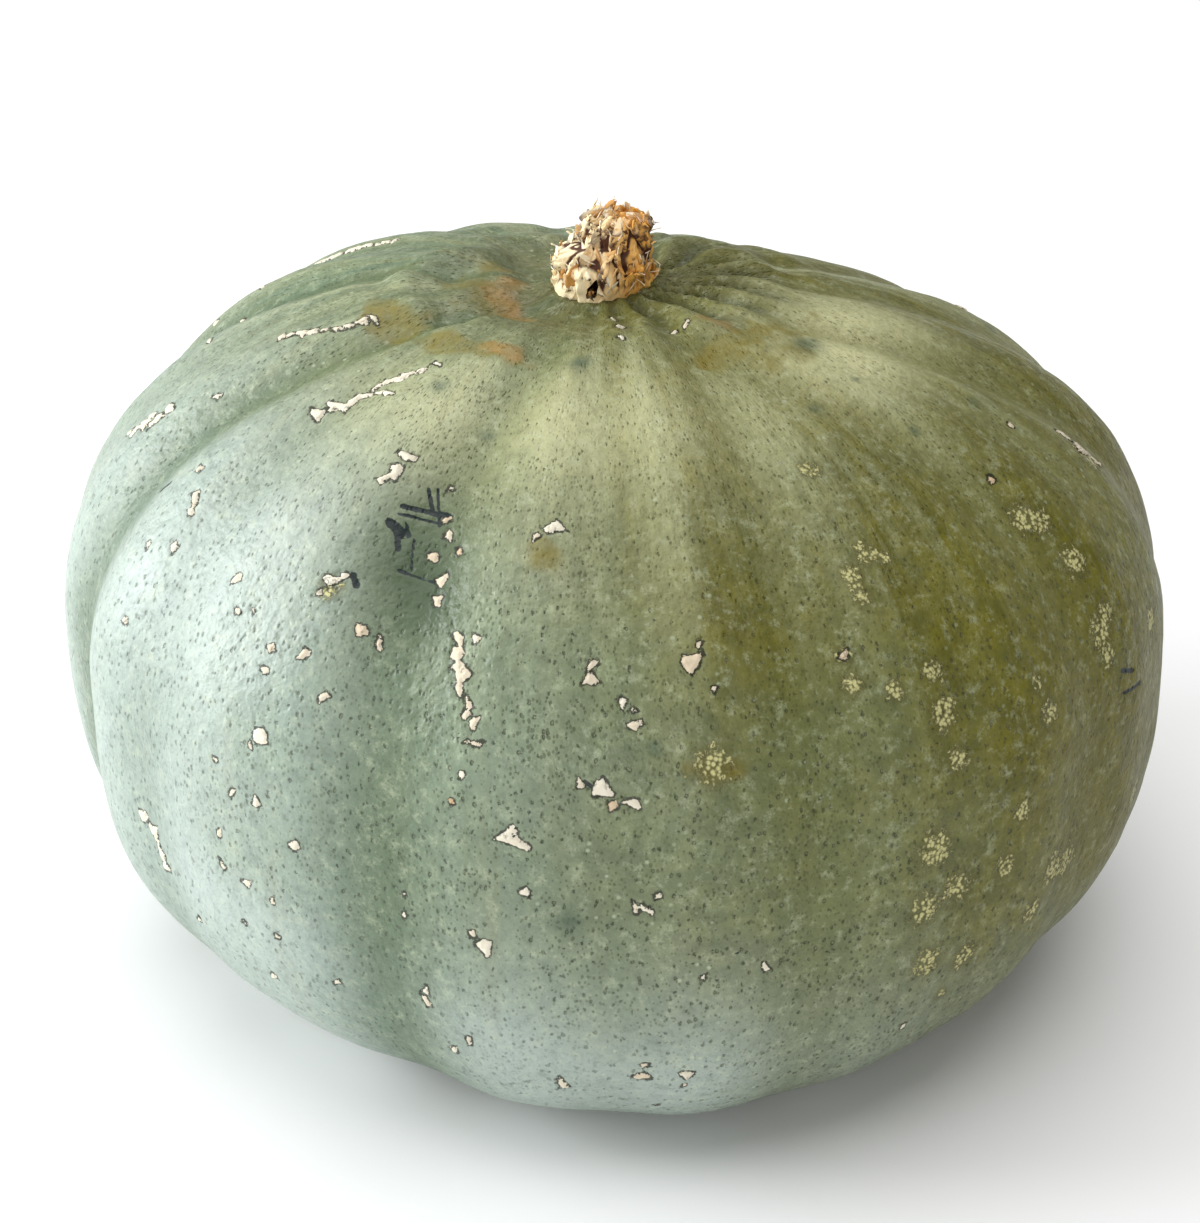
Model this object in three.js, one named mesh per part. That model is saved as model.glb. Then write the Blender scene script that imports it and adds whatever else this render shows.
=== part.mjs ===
// A whole winter squash, picked: a broad ribbed fruit resting on its flattened blossom end,
// with the corky stub of its stem seated in the shallow hollow of the crown.
// Millimetres, +Z up. The origin is on the resting surface, under the middle of the fruit.
// Azimuths are in degrees from the front (-Y), positive towards +X. Polar angles are in
// degrees from the stem end.
import * as THREE from 'three';

// The fruit's body: two superellipse halves that meet at the girth.
const GIRTH_RADIUS = 150;
const SHOULDER_HEIGHT = 93;
const BELLY_DEPTH = 100;
const SHOULDER_FULLNESS = 2.1;
const BELLY_FULLNESS = 3.1;

// The crown leans a little off the middle and holds a shallow hollow with a flat seat.
const CROWN_SHIFT_X = -2.5;
const CROWN_SHIFT_Y = 4;
const HOLLOW_DEPTH = 7;
const HOLLOW_RADIUS = 46;
const SEAT_RADIUS = 17;

// The foot: where the fruit's own weight flattened it, round the dimple of the blossom end.
const FOOT_DEPTH = 96;
const FOOT_SOFTNESS = 3;
const PAD_HEIGHT = 1.5;
const DIMPLE_DEPTH = 8;
const DIMPLE_RADIUS = 28;

// Furrows run from the crown to the blossom end and part the ribs. swing is how far a furrow
// turns sideways as it nears the crown.
const FURROWS = [
  { azimuth: -168, swing: 0, depth: 2.5, width: 6 },
  { azimuth: -146, swing: 0, depth: 2.0, width: 7 },
  { azimuth: -124, swing: 4, depth: 2.2, width: 6 },
  { azimuth: -106, swing: 8, depth: 4.5, width: 6 },
  { azimuth: -89, swing: 12, depth: 1.2, width: 5 },
  { azimuth: -72, swing: 18, depth: 5.0, width: 6 },
  { azimuth: -52, swing: 10, depth: 2.0, width: 6 },
  { azimuth: -22, swing: 6, depth: 4.2, width: 7 },
  { azimuth: 0, swing: 0, depth: 1.4, width: 6 },
  { azimuth: 19, swing: 8, depth: 2.6, width: 6 },
  { azimuth: 36, swing: -10, depth: 0.8, width: 6 },
  { azimuth: 54, swing: -33, depth: 2.6, width: 6 },
  { azimuth: 70, swing: -32, depth: 0.8, width: 5 },
  { azimuth: 85, swing: -35, depth: 3.4, width: 6 },
  { azimuth: 106, swing: -20, depth: 2.6, width: 6 },
  { azimuth: 125, swing: -10, depth: 2.2, width: 6 },
  { azimuth: 147, swing: 0, depth: 2.8, width: 6 },
  { azimuth: 168, swing: 0, depth: 2.0, width: 6 },
];
const SWING_POWER = 6;
const FURROW_START = 60;
const FURROW_TAPER = 0.6;
const SHOULDER_FURROW_GAIN = 0.35;
const BELLY_FURROW_LOSS = 0.35;

// Broad departures from a round body: the back of the shoulder falls away, its left stands a
// little high, and the belly sags out at the front and right.
const SWELLS = [
  { azimuth: 160, polar: 36, height: -9, spread: 30 },
  { azimuth: -140, polar: 40, height: 2, spread: 30 },
  { azimuth: 10, polar: 136, height: 11, spread: 30 },
  { azimuth: 80, polar: 110, height: 3, spread: 30 },
];

// The stem stub: a short column with a lower knob on its front left.
const STEM_GAP = 0.3;
const STEM_HEIGHT = 21;
const STEM_RADIUS = 9.6;
const STEM_FOOT_FLARE = 1.2;
const STEM_AXIS_X = 3.6;
const STEM_AXIS_Y = 1;
const STEM_TOP_ROUNDNESS = 5;
const KNOB_HEIGHT = 13.5;
const KNOB_REACH = 7;
const KNOB_AZIMUTH = -60;
const KNOB_WIDTH = 62;
const GNARL = 0.5;

// Mesh fineness.
const FRUIT_SEGMENTS = 108;
const FRUIT_ROWS = 40;
const STEM_SEGMENTS = 32;
const STEM_ROWS = 16;

const { degToRad, radToDeg, smoothstep } = THREE.MathUtils;

const rindMaterial = () => new THREE.MeshStandardMaterial({
  color: 0x8ea58b,
  roughness: 0.5,
  metalness: 0,
});

const corkMaterial = () => new THREE.MeshStandardMaterial({
  color: 0xc49a5a,
  roughness: 0.9,
  metalness: 0,
});

// The signed angle from b to a, in degrees, between -180 and 180.
function turnBetween(a, b) {
  return THREE.MathUtils.euclideanModulo(a - b + 180, 360) - 180;
}

function bell(distance, width) {
  return Math.exp(-((distance / width) ** 2));
}

function direction(azimuth, polar) {
  const flat = Math.sin(degToRad(polar));
  return new THREE.Vector3(
    flat * Math.sin(degToRad(azimuth)),
    -flat * Math.cos(degToRad(azimuth)),
    Math.cos(degToRad(polar)),
  );
}

// The smooth body at a polar angle: radius, height and the outward normal in that plane.
function smoothBody(polar) {
  const sine = Math.sin(degToRad(polar));
  const cosine = Math.cos(degToRad(polar));
  const upper = cosine >= 0;
  const power = upper ? SHOULDER_FULLNESS : BELLY_FULLNESS;
  const reach = upper ? SHOULDER_HEIGHT : BELLY_DEPTH;
  const radius = GIRTH_RADIUS * Math.max(sine, 0) ** (2 / power);
  const height = reach * Math.sign(cosine) * Math.abs(cosine) ** (2 / power);
  const normal = new THREE.Vector2(
    (radius / GIRTH_RADIUS) ** (power - 1) / GIRTH_RADIUS,
    (Math.sign(cosine) * Math.abs(height / reach) ** (power - 1)) / reach,
  );
  return { sine, cosine, upper, radius, height, normal: normal.normalize() };
}

function swellHeight(azimuth, polar) {
  const here = direction(azimuth, polar);
  let total = 0;
  for (const swell of SWELLS) {
    const away = radToDeg(here.angleTo(direction(swell.azimuth, swell.polar)));
    total += swell.height * bell(away, swell.spread);
  }
  return total;
}

function furrowDepth(azimuth, body) {
  const crownward = body.upper ? body.cosine ** SWING_POWER : 0;
  let total = 0;
  for (const furrow of FURROWS) {
    const centre = furrow.azimuth + furrow.swing * crownward;
    total += furrow.depth * bell(turnBetween(azimuth, centre), furrow.width);
  }
  const overShoulder = (2 * body.sine * body.cosine) ** 2;
  const gain = body.upper
    ? 1 + SHOULDER_FURROW_GAIN * overShoulder
    : 1 + BELLY_FURROW_LOSS * body.cosine;
  return total * gain * body.sine ** FURROW_TAPER;
}

// A point of the rind, given in the fruit's own frame: height 0 is at the girth.
function rindPoint(azimuth, polar) {
  const body = smoothBody(polar);
  const swell = swellHeight(azimuth, polar) * smoothstep(body.radius, 0, FURROW_START);
  let radius = body.radius + swell * body.normal.x;
  let height = body.height + swell * body.normal.y;

  // The foot presses flat against the ground.
  const overFoot = (height + FOOT_DEPTH) / FOOT_SOFTNESS;
  height = -FOOT_DEPTH + FOOT_SOFTNESS * Math.log1p(Math.exp(overFoot));

  const furrowStart = body.upper ? SEAT_RADIUS : 0;
  const furrow = furrowDepth(azimuth, body) * smoothstep(radius, furrowStart, FURROW_START);
  radius -= furrow * body.normal.x;
  height -= furrow * body.normal.y;

  if (body.upper) {
    height -= HOLLOW_DEPTH * (1 - smoothstep(radius, SEAT_RADIUS, HOLLOW_RADIUS));
    if (radius < SEAT_RADIUS) {
      height = SHOULDER_HEIGHT - HOLLOW_DEPTH;
    }
  } else {
    height += DIMPLE_DEPTH * bell(radius, DIMPLE_RADIUS);
    height = Math.max(height, -FOOT_DEPTH + PAD_HEIGHT);
  }

  const crownward = body.upper ? body.cosine ** 2 : 0;
  return new THREE.Vector3(
    radius * Math.sin(degToRad(azimuth)) + CROWN_SHIFT_X * crownward,
    -radius * Math.cos(degToRad(azimuth)) + CROWN_SHIFT_Y * crownward,
    height,
  );
}

// A turned blank whose every point is then moved to where shape(azimuth, row) says.
function turnedSolid(profile, segments, shape) {
  const geometry = new THREE.LatheGeometry(profile, segments);
  geometry.rotateX(Math.PI / 2);
  const position = geometry.attributes.position;
  for (let index = 0; index < position.count; index += 1) {
    const row = index % profile.length;
    const azimuth = (360 * Math.floor(index / profile.length)) / segments;
    const point = shape(azimuth, row);
    position.setXYZ(index, point.x, point.y, point.z);
  }
  geometry.computeVertexNormals();
  return geometry;
}

function makeFruit() {
  const polars = [];
  for (let row = 0; row <= FRUIT_ROWS; row += 1) {
    polars.push(180 * (1 - row / FRUIT_ROWS));
  }
  const profile = polars.map((polar) => {
    const body = smoothBody(polar);
    return new THREE.Vector2(body.radius, body.height);
  });
  const geometry = turnedSolid(profile, FRUIT_SEGMENTS, (azimuth, row) => rindPoint(azimuth, polars[row]));
  const fruit = new THREE.Mesh(geometry, rindMaterial());
  fruit.name = 'fruit';
  return fruit;
}

// The stem's outline: across its flat underside, up the column and over the rounded top.
function stemProfile() {
  const profile = [new THREE.Vector2(0, 0), new THREE.Vector2(STEM_RADIUS / 2, 0)];
  for (let row = 0; row <= STEM_ROWS; row += 1) {
    const share = row / STEM_ROWS;
    const taper = (1 - share ** STEM_TOP_ROUNDNESS) ** (1 / 2);
    const flare = STEM_FOOT_FLARE * (1 - share) ** 2;
    profile.push(new THREE.Vector2((STEM_RADIUS + flare) * taper, STEM_HEIGHT * share));
  }
  return profile;
}

function makeStem() {
  const profile = stemProfile();
  const geometry = turnedSolid(profile, STEM_SEGMENTS, (azimuth, row) => {
    const outline = profile[row];
    const below = Math.max(0, 1 - (outline.y / KNOB_HEIGHT) ** 4) ** (1 / 2);
    const knob = KNOB_REACH * bell(turnBetween(azimuth, KNOB_AZIMUTH), KNOB_WIDTH) * below;
    const gnarl = GNARL * Math.sin(5 * degToRad(azimuth) + outline.y / 2);
    const onSide = Math.min(1, outline.x / STEM_RADIUS);
    const radius = outline.x + (knob + gnarl) * onSide;
    return new THREE.Vector3(
      radius * Math.sin(degToRad(azimuth)) + STEM_AXIS_X * onSide,
      -radius * Math.cos(degToRad(azimuth)) + STEM_AXIS_Y * onSide,
      outline.y,
    );
  });
  const stem = new THREE.Mesh(geometry, corkMaterial());
  stem.name = 'stem';
  stem.position.set(CROWN_SHIFT_X, CROWN_SHIFT_Y, SHOULDER_HEIGHT - HOLLOW_DEPTH + STEM_GAP);
  return stem;
}

const squash = new THREE.Group();
squash.add(makeFruit(), makeStem());

// Stand the fruit on the ground plane with its middle over the origin.
const extent = new THREE.Box3().setFromObject(squash);
const middle = extent.getCenter(new THREE.Vector3());
squash.position.set(-middle.x, -middle.y, -extent.min.z);
squash.updateMatrixWorld(true);

export default squash;
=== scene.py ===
# A whole winter squash, picked, standing on its blossom end: one broad ribbed fruit and the
# corky stub of its stem. Lengths are in metres, +Z is up and -Y is the front. Azimuths are
# degrees from the front towards +X, and polar angles are degrees from the stem end.
import bmesh
import bpy
import math
import numpy as np
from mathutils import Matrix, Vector, noise


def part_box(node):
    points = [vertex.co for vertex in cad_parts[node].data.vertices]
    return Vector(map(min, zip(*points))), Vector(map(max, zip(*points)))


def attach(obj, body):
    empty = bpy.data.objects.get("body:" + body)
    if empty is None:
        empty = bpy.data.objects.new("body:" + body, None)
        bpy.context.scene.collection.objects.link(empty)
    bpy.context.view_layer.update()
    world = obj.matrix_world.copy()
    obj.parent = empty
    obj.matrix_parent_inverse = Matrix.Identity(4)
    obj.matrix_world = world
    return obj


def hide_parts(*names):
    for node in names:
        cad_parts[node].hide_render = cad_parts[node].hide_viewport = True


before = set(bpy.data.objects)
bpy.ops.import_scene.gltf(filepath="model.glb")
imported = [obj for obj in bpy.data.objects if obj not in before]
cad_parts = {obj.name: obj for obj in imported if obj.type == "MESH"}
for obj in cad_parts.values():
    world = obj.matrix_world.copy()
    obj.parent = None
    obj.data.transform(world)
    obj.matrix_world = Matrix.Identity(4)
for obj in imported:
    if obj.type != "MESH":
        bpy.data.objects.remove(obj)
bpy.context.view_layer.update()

# ---------------------------------------------------------------------------------------------
# The fruit's body. It grew as one piece: two rounded halves that meet at the girth, a shallow
# hollow with the stem's seat in the crown, a flattened foot round the blossom end's dimple, and
# furrows that part the ribs.
# ---------------------------------------------------------------------------------------------
MM = 0.001
GIRTH_RADIUS = 150 * MM
SHOULDER_HEIGHT = 93 * MM
BELLY_DEPTH = 100 * MM
SHOULDER_FULLNESS = 2.1
BELLY_FULLNESS = 3.1
CROWN_SHIFT = (-2.5 * MM, 4 * MM)
HOLLOW_DEPTH = 7 * MM
HOLLOW_RADIUS = 46 * MM
SEAT_RADIUS = 17 * MM
FOOT_DEPTH = 96 * MM
FOOT_SOFTNESS = 3 * MM
PAD_HEIGHT = 1.5 * MM
DIMPLE_DEPTH = 8 * MM
DIMPLE_RADIUS = 28 * MM

# Each furrow: azimuth, sideways swing near the crown, depth in mm, half width in degrees.
FURROWS = [
    (-168, 0, 2.5, 6), (-146, 0, 2.0, 7), (-124, 4, 2.2, 6), (-106, 8, 4.5, 6),
    (-89, 12, 1.2, 5), (-72, 18, 5.0, 6), (-52, 10, 2.0, 6), (-22, 6, 4.2, 7),
    (0, 0, 1.4, 6), (19, 8, 2.6, 6), (36, -10, 0.8, 6), (54, -33, 2.6, 6),
    (70, -32, 0.8, 5), (85, -35, 3.4, 6), (106, -20, 2.6, 6), (125, -10, 2.2, 6),
    (147, 0, 2.8, 6), (168, 0, 2.0, 6),
]
SWING_POWER = 6
FURROW_START = 60 * MM
FURROW_TAPER = 0.6
SHOULDER_FURROW_GAIN = 0.35
BELLY_FURROW_LOSS = 0.35

# Each swell: azimuth, polar angle, height in mm, spread in degrees.
SWELLS = [(160, 36, -9, 30), (-140, 40, 2, 30), (10, 136, 11, 30), (80, 110, 3, 30)]


def bell(distance, width):
    return np.exp(-(distance / width) ** 2)


def turn_between(a, b):
    return (a - b + 180) % 360 - 180


def ease(value, start, end):
    share = np.clip((value - start) / (end - start), 0, 1)
    return share * share * (3 - 2 * share)


def degrees_apart(azimuth, polar, other_azimuth, other_polar):
    turn = np.radians(azimuth - other_azimuth)
    here, there = np.radians(polar), np.radians(other_polar)
    cosine = np.cos(here) * np.cos(there) + np.sin(here) * np.sin(there) * np.cos(turn)
    return np.degrees(np.arccos(np.clip(cosine, -1, 1)))


def rind_points(azimuth, polar):
    """Points of the rind before its fine relief, with height 0 at the girth."""
    sine, cosine = np.sin(np.radians(polar)).clip(0), np.cos(np.radians(polar))
    upper = cosine >= 0
    power = np.where(upper, SHOULDER_FULLNESS, BELLY_FULLNESS)
    reach = np.where(upper, SHOULDER_HEIGHT, BELLY_DEPTH)
    body_radius = GIRTH_RADIUS * sine ** (2 / power)
    height = reach * np.sign(cosine) * np.abs(cosine) ** (2 / power)
    outward = (body_radius / GIRTH_RADIUS) ** (power - 1) / GIRTH_RADIUS
    upward = np.sign(cosine) * np.abs(height / reach) ** (power - 1) / reach
    length = np.hypot(outward, upward)
    outward, upward = outward / length, upward / length

    swell = sum(
        lift * MM * bell(degrees_apart(azimuth, polar, at, down), spread)
        for at, down, lift, spread in SWELLS
    )
    swell = swell * ease(body_radius, 0, FURROW_START)
    radius = body_radius + swell * outward
    height = height + swell * upward
    height = FOOT_SOFTNESS * np.logaddexp(0, (height + FOOT_DEPTH) / FOOT_SOFTNESS) - FOOT_DEPTH

    crownward = np.where(upper, cosine, 0)
    furrow = sum(
        depth * MM * bell(turn_between(azimuth, at + swing * crownward ** SWING_POWER), width)
        for at, swing, depth, width in FURROWS
    )
    over_shoulder = (2 * sine * cosine) ** 2
    gain = np.where(
        upper,
        1 + SHOULDER_FURROW_GAIN * over_shoulder,
        1 + BELLY_FURROW_LOSS * cosine,
    )
    furrow_start = np.where(upper, SEAT_RADIUS, 0)
    furrow = furrow * gain * sine ** FURROW_TAPER * ease(radius, furrow_start, FURROW_START)
    radius = radius - furrow * outward
    height = height - furrow * upward

    hollow = HOLLOW_DEPTH * (1 - ease(radius, SEAT_RADIUS, HOLLOW_RADIUS))
    crown = np.where(radius < SEAT_RADIUS, SHOULDER_HEIGHT - HOLLOW_DEPTH, height - hollow)
    foot = np.maximum(height + DIMPLE_DEPTH * bell(radius, DIMPLE_RADIUS), PAD_HEIGHT - FOOT_DEPTH)
    height = np.where(upper, crown, foot)

    turn = np.radians(azimuth)
    x = radius * np.sin(turn) + CROWN_SHIFT[0] * crownward ** 2
    y = -radius * np.cos(turn) + CROWN_SHIFT[1] * crownward ** 2
    return np.stack([x, y, height], axis=-1)


def angles_of(direction):
    """Azimuth and polar angle of the rind point that lies in each unit direction."""
    flat, rise = np.hypot(direction[:, 0], direction[:, 1]), direction[:, 2]
    upper = rise >= 0
    power = np.where(upper, SHOULDER_FULLNESS, BELLY_FULLNESS)
    reach = np.where(upper, SHOULDER_HEIGHT, BELLY_DEPTH)
    across, along = flat / GIRTH_RADIUS, np.abs(rise) / reach
    away = (across ** power + along ** power) ** (-1 / power)
    sine = np.clip(across * away, 0, 1) ** (power / 2)
    cosine = np.sign(rise) * np.clip(along * away, 0, 1) ** (power / 2)
    azimuth = np.degrees(np.arctan2(direction[:, 0], -direction[:, 1]))
    return azimuth, np.degrees(np.arctan2(sine, cosine))


# ---------------------------------------------------------------------------------------------
# Marks that the fruit took while it grew and travelled: pale corky flakes, cracks along the
# ribs, scratches, and spots. Each flake has: azimuth, polar angle, length and width in mm, turn
# of its long axis in degrees up from the right, and tone from 0, white, to 1, tan.
# ---------------------------------------------------------------------------------------------
FLAKES = [
    (-7, 45, 8, 3, 8, 0.0), (-9, 46, 3, 2, 60, 0.3),
    (-2, 62, 4, 2.5, 100, 0.3), (-2, 64, 5.5, 2.5, 110, 0.3),
    (1, 67, 3.5, 3, 70, 0.0), (2, 70, 6.5, 3, 25, 0.3), (2, 68, 2, 1.5, 0, 0.1),
    (8, 62, 6, 4, 5, 0.5), (9, 60, 3, 1.6, 80, 0.4), (10, 66, 2, 1.2, 80, 0.3),
    (-3, 78, 4, 2, 120, 0.2), (-1, 79, 7, 5, 160, 0.0), (0, 81, 3.5, 3, 40, 0.7), (2, 81, 4, 3, 120, 0.1),
    (-10, 86, 6, 3, 20, 0.0), (-9, 85, 3, 2, 100, 0.0), (-8, 87, 6.5, 3, 125, 0.1),
    (-8, 91, 4, 2.6, 10, 0.0),
    (4, 91, 3, 1.6, 60, 0.1), (3, 92, 5, 2.2, 130, 0.0), (2, 92, 3, 1.5, 60, 0.2),
    (-12, 96, 5, 3, 150, 0.0), (-13, 95, 3, 2, 60, 0.2), (14, 99, 3, 2, 80, 0.0), (8, 99, 2, 1.6, 0, 0.0),
    (-18, 105, 4, 2, 130, 0.0), (-18, 107, 5, 2, 100, 0.2), (-14, 112, 5, 1.6, 115, 0.1),
    (-16, 116, 4, 1.4, 160, 0.0),
    (-5, 119, 7, 1.8, 130, 0.2), (3, 114, 4, 1.6, 10, 0.3), (3, 117, 7, 2.4, 170, 0.4),
    (7, 116, 6, 1.8, 20, 0.1),
    (7, 119, 3, 1.2, 60, 0.2), (30, 116, 4, 1.6, 120, 0.0), (-36, 111, 4, 1.8, 60, 0.0),
    (-22, 44, 4, 2.4, 20, 0.6), (-21, 46, 3, 2.6, 80, 0.3), (-22, 49, 4, 3, 100, 0.5),
    (-20, 52, 5, 2.6, 75, 0.3),
    (-20, 55, 4, 2.4, 90, 0.4), (-19, 48, 4, 1.8, 100, 0.7), (-23, 40, 3, 1.6, 60, 0.2),
    (-27, 61, 6.5, 2, 165, 0.5), (-25, 62, 7, 2, 85, 0.3), (-32, 56, 7, 4, 25, 0.0),
    (-33, 58, 3, 2, 60, 0.2),
    (-31, 55, 3, 2, 120, 0.0), (-44, 60, 6, 3, 70, 0.1), (-42, 64, 4, 1.4, 170, 0.2),
    (-40, 63, 3, 1.2, 20, 0.2),
    (-36, 67, 5, 1.6, 80, 0.3), (-36, 70, 3, 2, 60, 0.1), (-32, 66, 3, 2, 10, 0.3),
    (-29, 71, 5, 2.6, 80, 0.2),
    (-35, 79, 6, 3.6, 50, 0.0), (-36, 81, 4, 1.6, 120, 0.2), (-40, 85, 4, 1.4, 170, 0.1),
    (-35, 89, 5, 2, 110, 0.0),
    (-38, 89, 4, 1.6, 60, 0.0), (-31, 91, 5, 3.2, 165, 0.0), (-40, 92, 3, 2, 80, 0.2),
    (-40, 95, 4, 1.6, 100, 0.1),
    (-37, 96, 4, 2, 150, 0.0), (-34, 97, 3.5, 2, 80, 0.2), (-38, 102, 2.5, 1.6, 60, 0.0),
    (-34, 102, 2.5, 1.6, 0, 0.1),
    (-20, 93, 3, 1.4, 130, 0.0), (-20, 95, 3, 1.2, 70, 0.0), (-28, 108, 3, 1.4, 20, 0.0),
    (-46, 107, 4, 1.6, 70, 0.0),
    (-58, 54, 7, 1.8, 160, 0.2), (-61, 51, 4, 1.6, 60, 0.2), (-57, 56, 4, 1.4, 100, 0.1),
    (-56, 61, 4, 1.4, 20, 0.0),
    (-60, 63, 3, 1.4, 80, 0.0), (-58, 74, 4, 1.6, 0, 0.0), (-75, 44, 5, 1.8, 60, 0.1),
    (-80, 53, 8, 2, 75, 0.1),
    (-95, 45, 6, 2, 20, 0.1), (-15, 82, 2.4, 2, 0, 1.0), (-14, 78, 2.4, 1.6, 60, 0.0),
    (-14, 60, 2.4, 1.6, 80, 0.1),
    (69, 47, 3, 2.4, 130, 0.4), (56, 50, 3, 2.2, 80, 0.8), (24, 64, 4, 2, 150, 0.6),
    (6, 8, 4, 1.6, 80, 0.1),
    (7, 12, 5, 1.8, 100, 0.2), (6, 16, 4, 1.6, 80, 0.0), (31, 15, 4, 1.2, 20, 0.3),
    (26, 15, 3, 1.2, 170, 0.3),
]

# Each crack: its points as azimuth and polar angle, its width in mm, and its tone.
CRACKS = [
    ([(-16, 60), (-15.5, 63), (-15, 66), (-14, 69), (-13, 73)], 1.8, 0.3),
    ([(-52, 37), (-50, 35), (-48, 32), (-45, 31), (-43, 31)], 3.0, 0.1),
    ([(-48, 32), (-46, 29), (-43, 27), (-40, 25)], 2.2, 0.1),
    ([(-79, 34), (-77, 32), (-75, 30), (-72, 27), (-70, 24)], 2.4, 0.2),
    ([(-32, 42), (-31, 41), (-31, 38)], 3.0, 0.1),
    ([(-54, 96), (-52, 98), (-51, 102)], 2.6, 0.0),
    ([(-126, 42), (-127, 36), (-129, 29)], 2.6, 0.1),
    ([(-84, 58), (-82, 54), (-80, 51)], 2.0, 0.1),
    ([(78, 53), (79, 58), (81, 62)], 3.0, 0.3),
    ([(130, 60), (132, 66), (131, 72)], 2.4, 0.2),
    ([(-160, 70), (-158, 76), (-159, 84)], 2.4, 0.2),
    ([(170, 44), (171, 50)], 3.0, 0.2),
]
CHIP_LENGTH = 4.2 * MM
CHIP_LIFT = 0.35 * MM
CHIP_RIM_DEPTH = 0.3 * MM
CHIP_SHRINK = 0.85
CHIP_EDGE = 0.3 * MM
MARK_REACH = 2 * MM
STRAY_FLAKES = 150
mark_chance = np.random.default_rng(20)


def tangent_frame(azimuth, polar):
    """A rind point, and unit vectors there to the right, up towards the crown, and outwards."""
    step = 0.2
    at = rind_points(np.array([azimuth] * 4) + [0, step, 0, 0], np.array([polar] * 4) + [0, 0, -step, 0])
    right = Vector(at[1] - at[0]).normalized()
    out = right.cross(Vector(at[2] - at[0])).normalized()
    return np.array(at[0]), np.array(right), np.array(out.cross(right)), np.array(out)


def chip_outline(length, width):
    """Half planes of a random angular chip: their directions and their distances out."""
    corners = mark_chance.integers(4, 7)
    bearing = (np.arange(corners) + mark_chance.uniform(-0.42, 0.42, corners)) * 2 * np.pi / corners
    facing = np.stack([np.cos(bearing), np.sin(bearing)], axis=-1)
    out = np.hypot(facing[:, 0] * length / 2, facing[:, 1] * width / 2)
    return facing, out * mark_chance.uniform(0.45, 1.0, corners)


chips = []


def add_chip(azimuth, polar, length, width, turn, tone):
    middle, right, up, out = tangent_frame(azimuth, polar)
    cosine, sine = math.cos(math.radians(turn)), math.sin(math.radians(turn))
    facing, distance = chip_outline(length, width)
    chips.append({
        "middle": middle,
        "along": right * cosine + up * sine,
        "across": up * cosine - right * sine,
        "out": out,
        "facing": facing,
        "distance": distance,
        "reach": length / 2 + MARK_REACH,
        "tone": tone,
        "tilt": mark_chance.uniform(-0.06, 0.06, 2),
    })


for azimuth, polar, length, width, turn, tone in FLAKES:
    add_chip(azimuth, polar, length * CHIP_SHRINK * MM, width * CHIP_SHRINK * MM, turn, tone)
for route, width, tone in CRACKS:
    spots = rind_points(*np.array(route, float).T)
    gaps = np.linalg.norm(np.diff(spots, axis=0), axis=1)
    travelled = np.concatenate([[0], np.cumsum(gaps)])
    count = max(2, round(travelled[-1] / CHIP_LENGTH * 1.5))
    stops = np.linspace(0, travelled[-1], count)
    for stop in stops:
        azimuth = np.interp(stop, travelled, [p[0] for p in route])
        polar = np.interp(stop, travelled, [p[1] for p in route])
        ahead = np.interp(stop + MM, travelled, [p[0] for p in route]) - azimuth
        drop = np.interp(stop + MM, travelled, [p[1] for p in route]) - polar
        heading = math.degrees(math.atan2(-drop, ahead * math.sin(math.radians(polar))))
        shift = mark_chance.normal(0, 0.25, 2)
        size = width * MM * mark_chance.uniform(0.35, 0.85)
        long = CHIP_LENGTH * mark_chance.uniform(0.9, 1.7)
        add_chip(
            azimuth + shift[0], polar + shift[1], long, size, heading + mark_chance.normal(0, 16), tone,
        )
for _ in range(STRAY_FLAKES):
    azimuth = mark_chance.uniform(-180, 180)
    polar = math.degrees(math.acos(mark_chance.uniform(-0.75, 0.82)))
    if abs(azimuth) < 100 and polar < 125:
        continue
    length = mark_chance.uniform(1.2, 4.5) * MM
    width = length * mark_chance.uniform(0.35, 0.8)
    add_chip(azimuth, polar, length, width, mark_chance.uniform(0, 180), mark_chance.uniform(0, 0.5))

# The bruise in the deep front furrow, with its scratches: azimuth and polar angle of both ends,
# and half width in mm.
BRUISE = (-25, 50, 7, 9)
SCRATCHES = [
    (-28, 44.2, -22, 43.4, 0.8), (-28, 45.2, -22.5, 44.6, 0.45), (-25.8, 41, -24, 43.6, 0.6),
    (-24.6, 40.6, -22.6, 45, 0.4), (-28.4, 46.6, -26.6, 47.4, 1.5), (-27.4, 47, -26.4, 49.4, 0.9),
    (-25.4, 52, -20.6, 52.4, 0.6), (-25, 47.6, -24, 52, 0.35), (-26.6, 46, -25.6, 47.4, 0.4),
    (-30, 54.6, -29.2, 55.6, 1.0), (-2.6, 77.6, -1, 79.8, 0.5), (60, 83.4, 62.4, 85, 0.7),
    (60, 87, 64, 88, 0.6), (-67, 57, -65.4, 55.2, 0.9), (8, 95.6, 11.6, 96.6, 0.2),
    (-100, 60, -97, 64, 0.4), (120, 80, 122, 86, 0.5), (-150, 50, -147, 58, 0.5),
]
# Dark spots in the skin: azimuth, polar angle and radius in mm.
SPOTS = [
    (-34, 28, 2.4), (-21, 32, 1.5), (-6, 21, 2.6), (-4, 93, 3.6), (4, 110, 1.1), (68, 42, 1.4),
    (40, 32, 1.7),
    (52, 31, 1.0), (72, 31, 1.1), (52, 40, 0.9), (38, 72, 0.9), (61, 62, 1.0), (4, 73, 0.8), (8, 67, 0.8),
    (54, 24, 4.0), (57, 24, 2.4), (110, 50, 2.0), (150, 70, 1.5), (-120, 80, 2.0), (-170, 60, 1.4),
    (90, 100, 1.6),
]
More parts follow.
